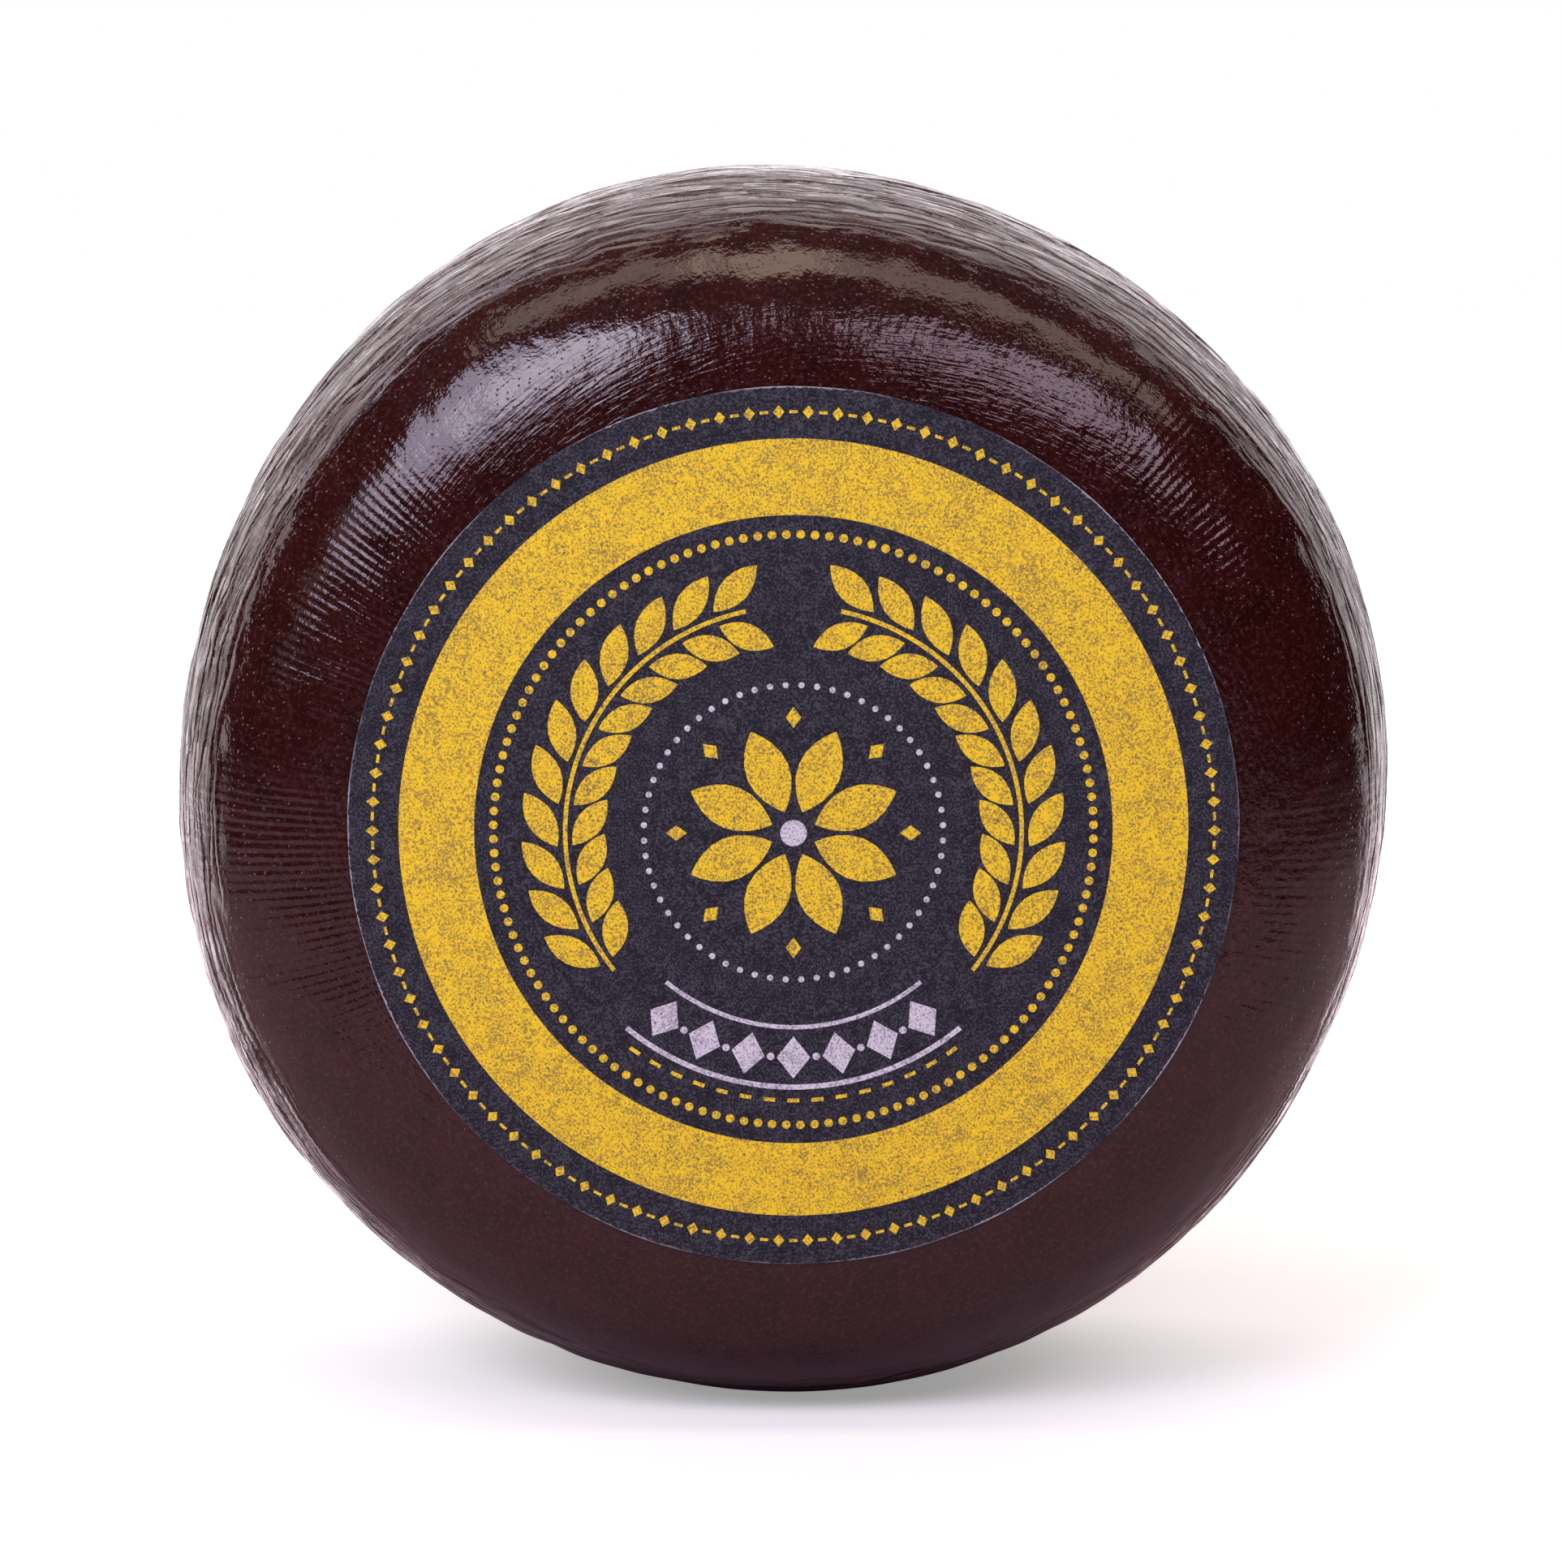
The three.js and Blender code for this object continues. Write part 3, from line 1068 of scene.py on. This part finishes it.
def floor_finish():
    material, tree, shader, place = new_finish("floor_paper")
    seen = seen_or_mirrored(tree)
    length = tree.nodes.new("ShaderNodeVectorMath")
    length.operation = "LENGTH"
    put(tree, length.inputs[0], place)
    away = length.outputs["Value"]
    near = blended(tree, eased(tree, away, *shadow_zone), floor_in_shadow, floor_near)
    mirrored = blended(tree, eased(tree, away, *far_zone), near, floor_far_painted_shade)
    put(tree, shader.inputs["Base Color"], blended(tree, seen, mirrored, floor_seen))
    shader.inputs["Roughness"].default_value = 1.0
    shader.inputs["Specular IOR Level"].default_value = 0.0

    glow_tone = blended(tree, seen, floor_glow_mirrored, floor_glow_seen)
    put(tree, shader.inputs["Emission Color"], glow_tone)
    across, depth, _ = parted(tree, place)
    behind = maths(tree, "MULTIPLY_ADD", maths(tree, "MAXIMUM", across, 0.0), glow_slant, depth)
    lit_behind = maths(tree, "MULTIPLY", eased(tree, behind, *glow_behind_zone), glow_behind)
    growing = eased(tree, away, *glow_seen_zone)
    glow = tree.nodes.new("ShaderNodeMix")
    put(tree, glow.inputs["Factor"], seen)
    put(tree, glow.inputs["A"], lit_behind)
    put(tree, glow.inputs["B"], maths(tree, "MULTIPLY_ADD", growing, glow_seen_farther, glow_seen_at_foot))
    put(tree, shader.inputs["Emission Strength"], glow.outputs["Result"])

    mix = tree.nodes.new("ShaderNodeMixShader")
    put(tree, mix.inputs[0], eased(tree, away, *floor_fade))
    put(tree, mix.inputs[1], shader.outputs[0])
    put(tree, mix.inputs[2], tree.nodes.new("ShaderNodeBsdfTransparent").outputs[0])
    put(tree, tree.nodes["Material Output"].inputs["Surface"], mix.outputs[0])
    return material


def floor_mesh():
    """A round sheet just under the foot."""
    edge = []
    for i in range(floor_corners):
        angle = math.tau * i / floor_corners
        edge.append((floor_radius * math.cos(angle), floor_radius * math.sin(angle), -floor_below))
    mesh = bpy.data.meshes.new("studio_floor")
    mesh.from_pydata(edge, [], [tuple(range(floor_corners))])
    return mesh


floor = bpy.data.objects.new("studio_floor", floor_mesh())
bpy.context.collection.objects.link(floor)
floor.data.materials.append(floor_finish())


def soft_lamp(name, azimuth, elevation, distance, size, radiance, aim=(0.0, 0.0, axis_height)):
    """A rectangular lamp that faces the cheese, as bright to look at as its radiance says."""
    data = bpy.data.lights.new(name, "AREA")
    data.shape = "RECTANGLE"
    data.size, data.size_y = size
    strongest = max(radiance)
    data.color = [part / strongest for part in radiance]
    data.energy = strongest * math.pi * data.size * data.size_y
    lamp = bpy.data.objects.new(name, data)
    around, above = math.radians(azimuth), math.radians(elevation)
    level = math.cos(above)
    back = Vector((math.sin(around) * level, -math.cos(around) * level, math.sin(above)))
    lamp.location = Vector(aim) + distance * back
    lamp.rotation_euler = back.to_track_quat("Z", "Y").to_euler()
    lamp.visible_camera = False
    bpy.context.collection.objects.link(lamp)


# Azimuth is counted from the camera's side towards +X, and elevation upwards from the axis.
soft_lamp("left_lamp", -36.5, 34.0, 2.0, (1.44, 0.98), (5.1, 4.7, 6.2))
soft_lamp("left_lamp_core", -31.0, 37.0, 1.95, (0.75, 0.50), (4.5, 4.2, 4.3))
soft_lamp("right_lamp", 32.5, 39.5, 2.0, (1.42, 0.62), (4.3, 3.3, 4.2))
soft_lamp("left_panel", -62.0, 16.0, 2.0, (0.45, 0.70), (0.55, 0.48, 0.48))
soft_lamp("overhead_strip", 0.0, 80.0, 2.0, (0.50, 0.48), (1.6, 1.25, 0.8))
soft_lamp("overhead_panel", 0.0, 80.0, 2.05, (3.9, 0.54), (2.0, 1.56, 1.36), (0.42, 0.0, axis_height))


# The wall's bands, from straight across (0) to straight behind (1), and how bright each is. At the
# left the bands shift one way, and low at the right the other way.
brightest = 2.5
wall_bands = (
    (0.0, 0.0), (0.32, 0.0), (0.37, 2.45), (0.50, 0.95), (0.62, 1.95), (0.74, 0.85),
    (0.84, 1.85), (0.92, 1.25), (1.0, 2.10),
)
band_shift = 0.14
shift_at_right = -0.75
far_left = (-0.60, -0.95)
far_right = (0.30, 0.60)
low_down = (0.30, 0.02)
dimmer_to_right = -0.18

room_light = 0.012
more_at_left = 0.026
left_of_room = (0.75, -0.1)
ceiling_light = 0.10
ceiling_zone = (0.45, 0.80)
ground_light = 0.10
ground_zone = (-0.04, -0.16)
wall_warm = (1.0, 0.88, 0.87, 1.0)
wall_cool = (1.0, 0.91, 0.95, 1.0)
cool_zone = (0.40, 0.90)


def banded_wall(tree, across, behind, up):
    """The brightness of the wall behind the cheese in each direction."""
    low_right = maths(tree, "MULTIPLY", eased(tree, across, *far_right), eased(tree, up, *low_down))
    sideways = maths(tree, "MULTIPLY_ADD", low_right, shift_at_right, eased(tree, across, *far_left))
    wall = tree.nodes.new("ShaderNodeValToRGB")
    put(tree, wall.inputs[0], maths(tree, "MULTIPLY_ADD", sideways, band_shift, behind))
    elements = wall.color_ramp.elements
    while len(elements) < len(wall_bands):
        elements.new(0.5)
    for element, (place, brightness) in zip(elements, wall_bands):
        share = brightness / brightest
        element.position = place
        element.color = (share, share, share, 1.0)
    side = maths(tree, "MULTIPLY_ADD", across, dimmer_to_right, 1.0)
    return product(tree, wall.outputs[0], brightest, side)


def studio_world():
    """What the cheese mirrors beyond the lamps: a dim room in front and the banded wall behind."""
    world = bpy.data.worlds.new("studio")
    bpy.context.scene.world = world
    world.use_nodes = True
    tree = world.node_tree
    tree.nodes.clear()
    across, behind, up = parted(tree, tree.nodes.new("ShaderNodeTexCoord").outputs["Generated"])

    room = maths(tree, "MULTIPLY_ADD", eased(tree, across, *left_of_room), more_at_left, room_light)
    room = maths(tree, "MULTIPLY_ADD", eased(tree, up, *ceiling_zone), ceiling_light, room)
    ground = maths(tree, "MULTIPLY", eased(tree, up, *ground_zone), ground_light)
    wall = banded_wall(tree, across, behind, up)

    mirrored = tree.nodes.new("ShaderNodeBackground")
    tone = blended(tree, eased(tree, behind, *cool_zone), wall_warm, wall_cool)
    put(tree, mirrored.inputs["Color"], tone)
    put(tree, mirrored.inputs["Strength"], maths(tree, "ADD", maths(tree, "MAXIMUM", room, ground), wall))
    white = tree.nodes.new("ShaderNodeBackground")
    white.inputs["Color"].default_value = (1.0, 1.0, 1.0, 1.0)
    white.inputs["Strength"].default_value = 1.0
    mix = tree.nodes.new("ShaderNodeMixShader")
    put(tree, mix.inputs[0], seen_or_mirrored(tree))
    put(tree, mix.inputs[1], mirrored.outputs[0])
    put(tree, mix.inputs[2], white.outputs[0])
    put(tree, tree.nodes.new("ShaderNodeOutputWorld").inputs["Surface"], mix.outputs[0])


studio_world()
bpy.context.scene.view_settings.view_transform = "Standard"


# THE CAMERA
# Ten degrees above the wheel's axis and straight in front of the label, one metre away, with a
# long lens. It aims a little below the axis, as the photo's frame does.

camera_distance = 1.0
camera_elevation = math.radians(10.0)
aim_left = 0.00007
aim_below_axis = 0.00113
sensor_width = 36.0
picture_width = 1925
focal_pixels = 8287

camera_data = bpy.data.cameras.new("camera")
camera_data.sensor_fit = "HORIZONTAL"
camera_data.sensor_width = sensor_width
camera_data.lens = focal_pixels * sensor_width / picture_width
camera = bpy.data.objects.new("camera", camera_data)
aim = Vector((-aim_left, 0.0, axis_height - aim_below_axis))
towards_camera = Vector((0.0, -math.cos(camera_elevation), math.sin(camera_elevation)))
camera.location = aim + camera_distance * towards_camera
camera.rotation_euler = towards_camera.to_track_quat("Z", "Y").to_euler()
bpy.context.collection.objects.link(camera)
bpy.context.scene.camera = camera
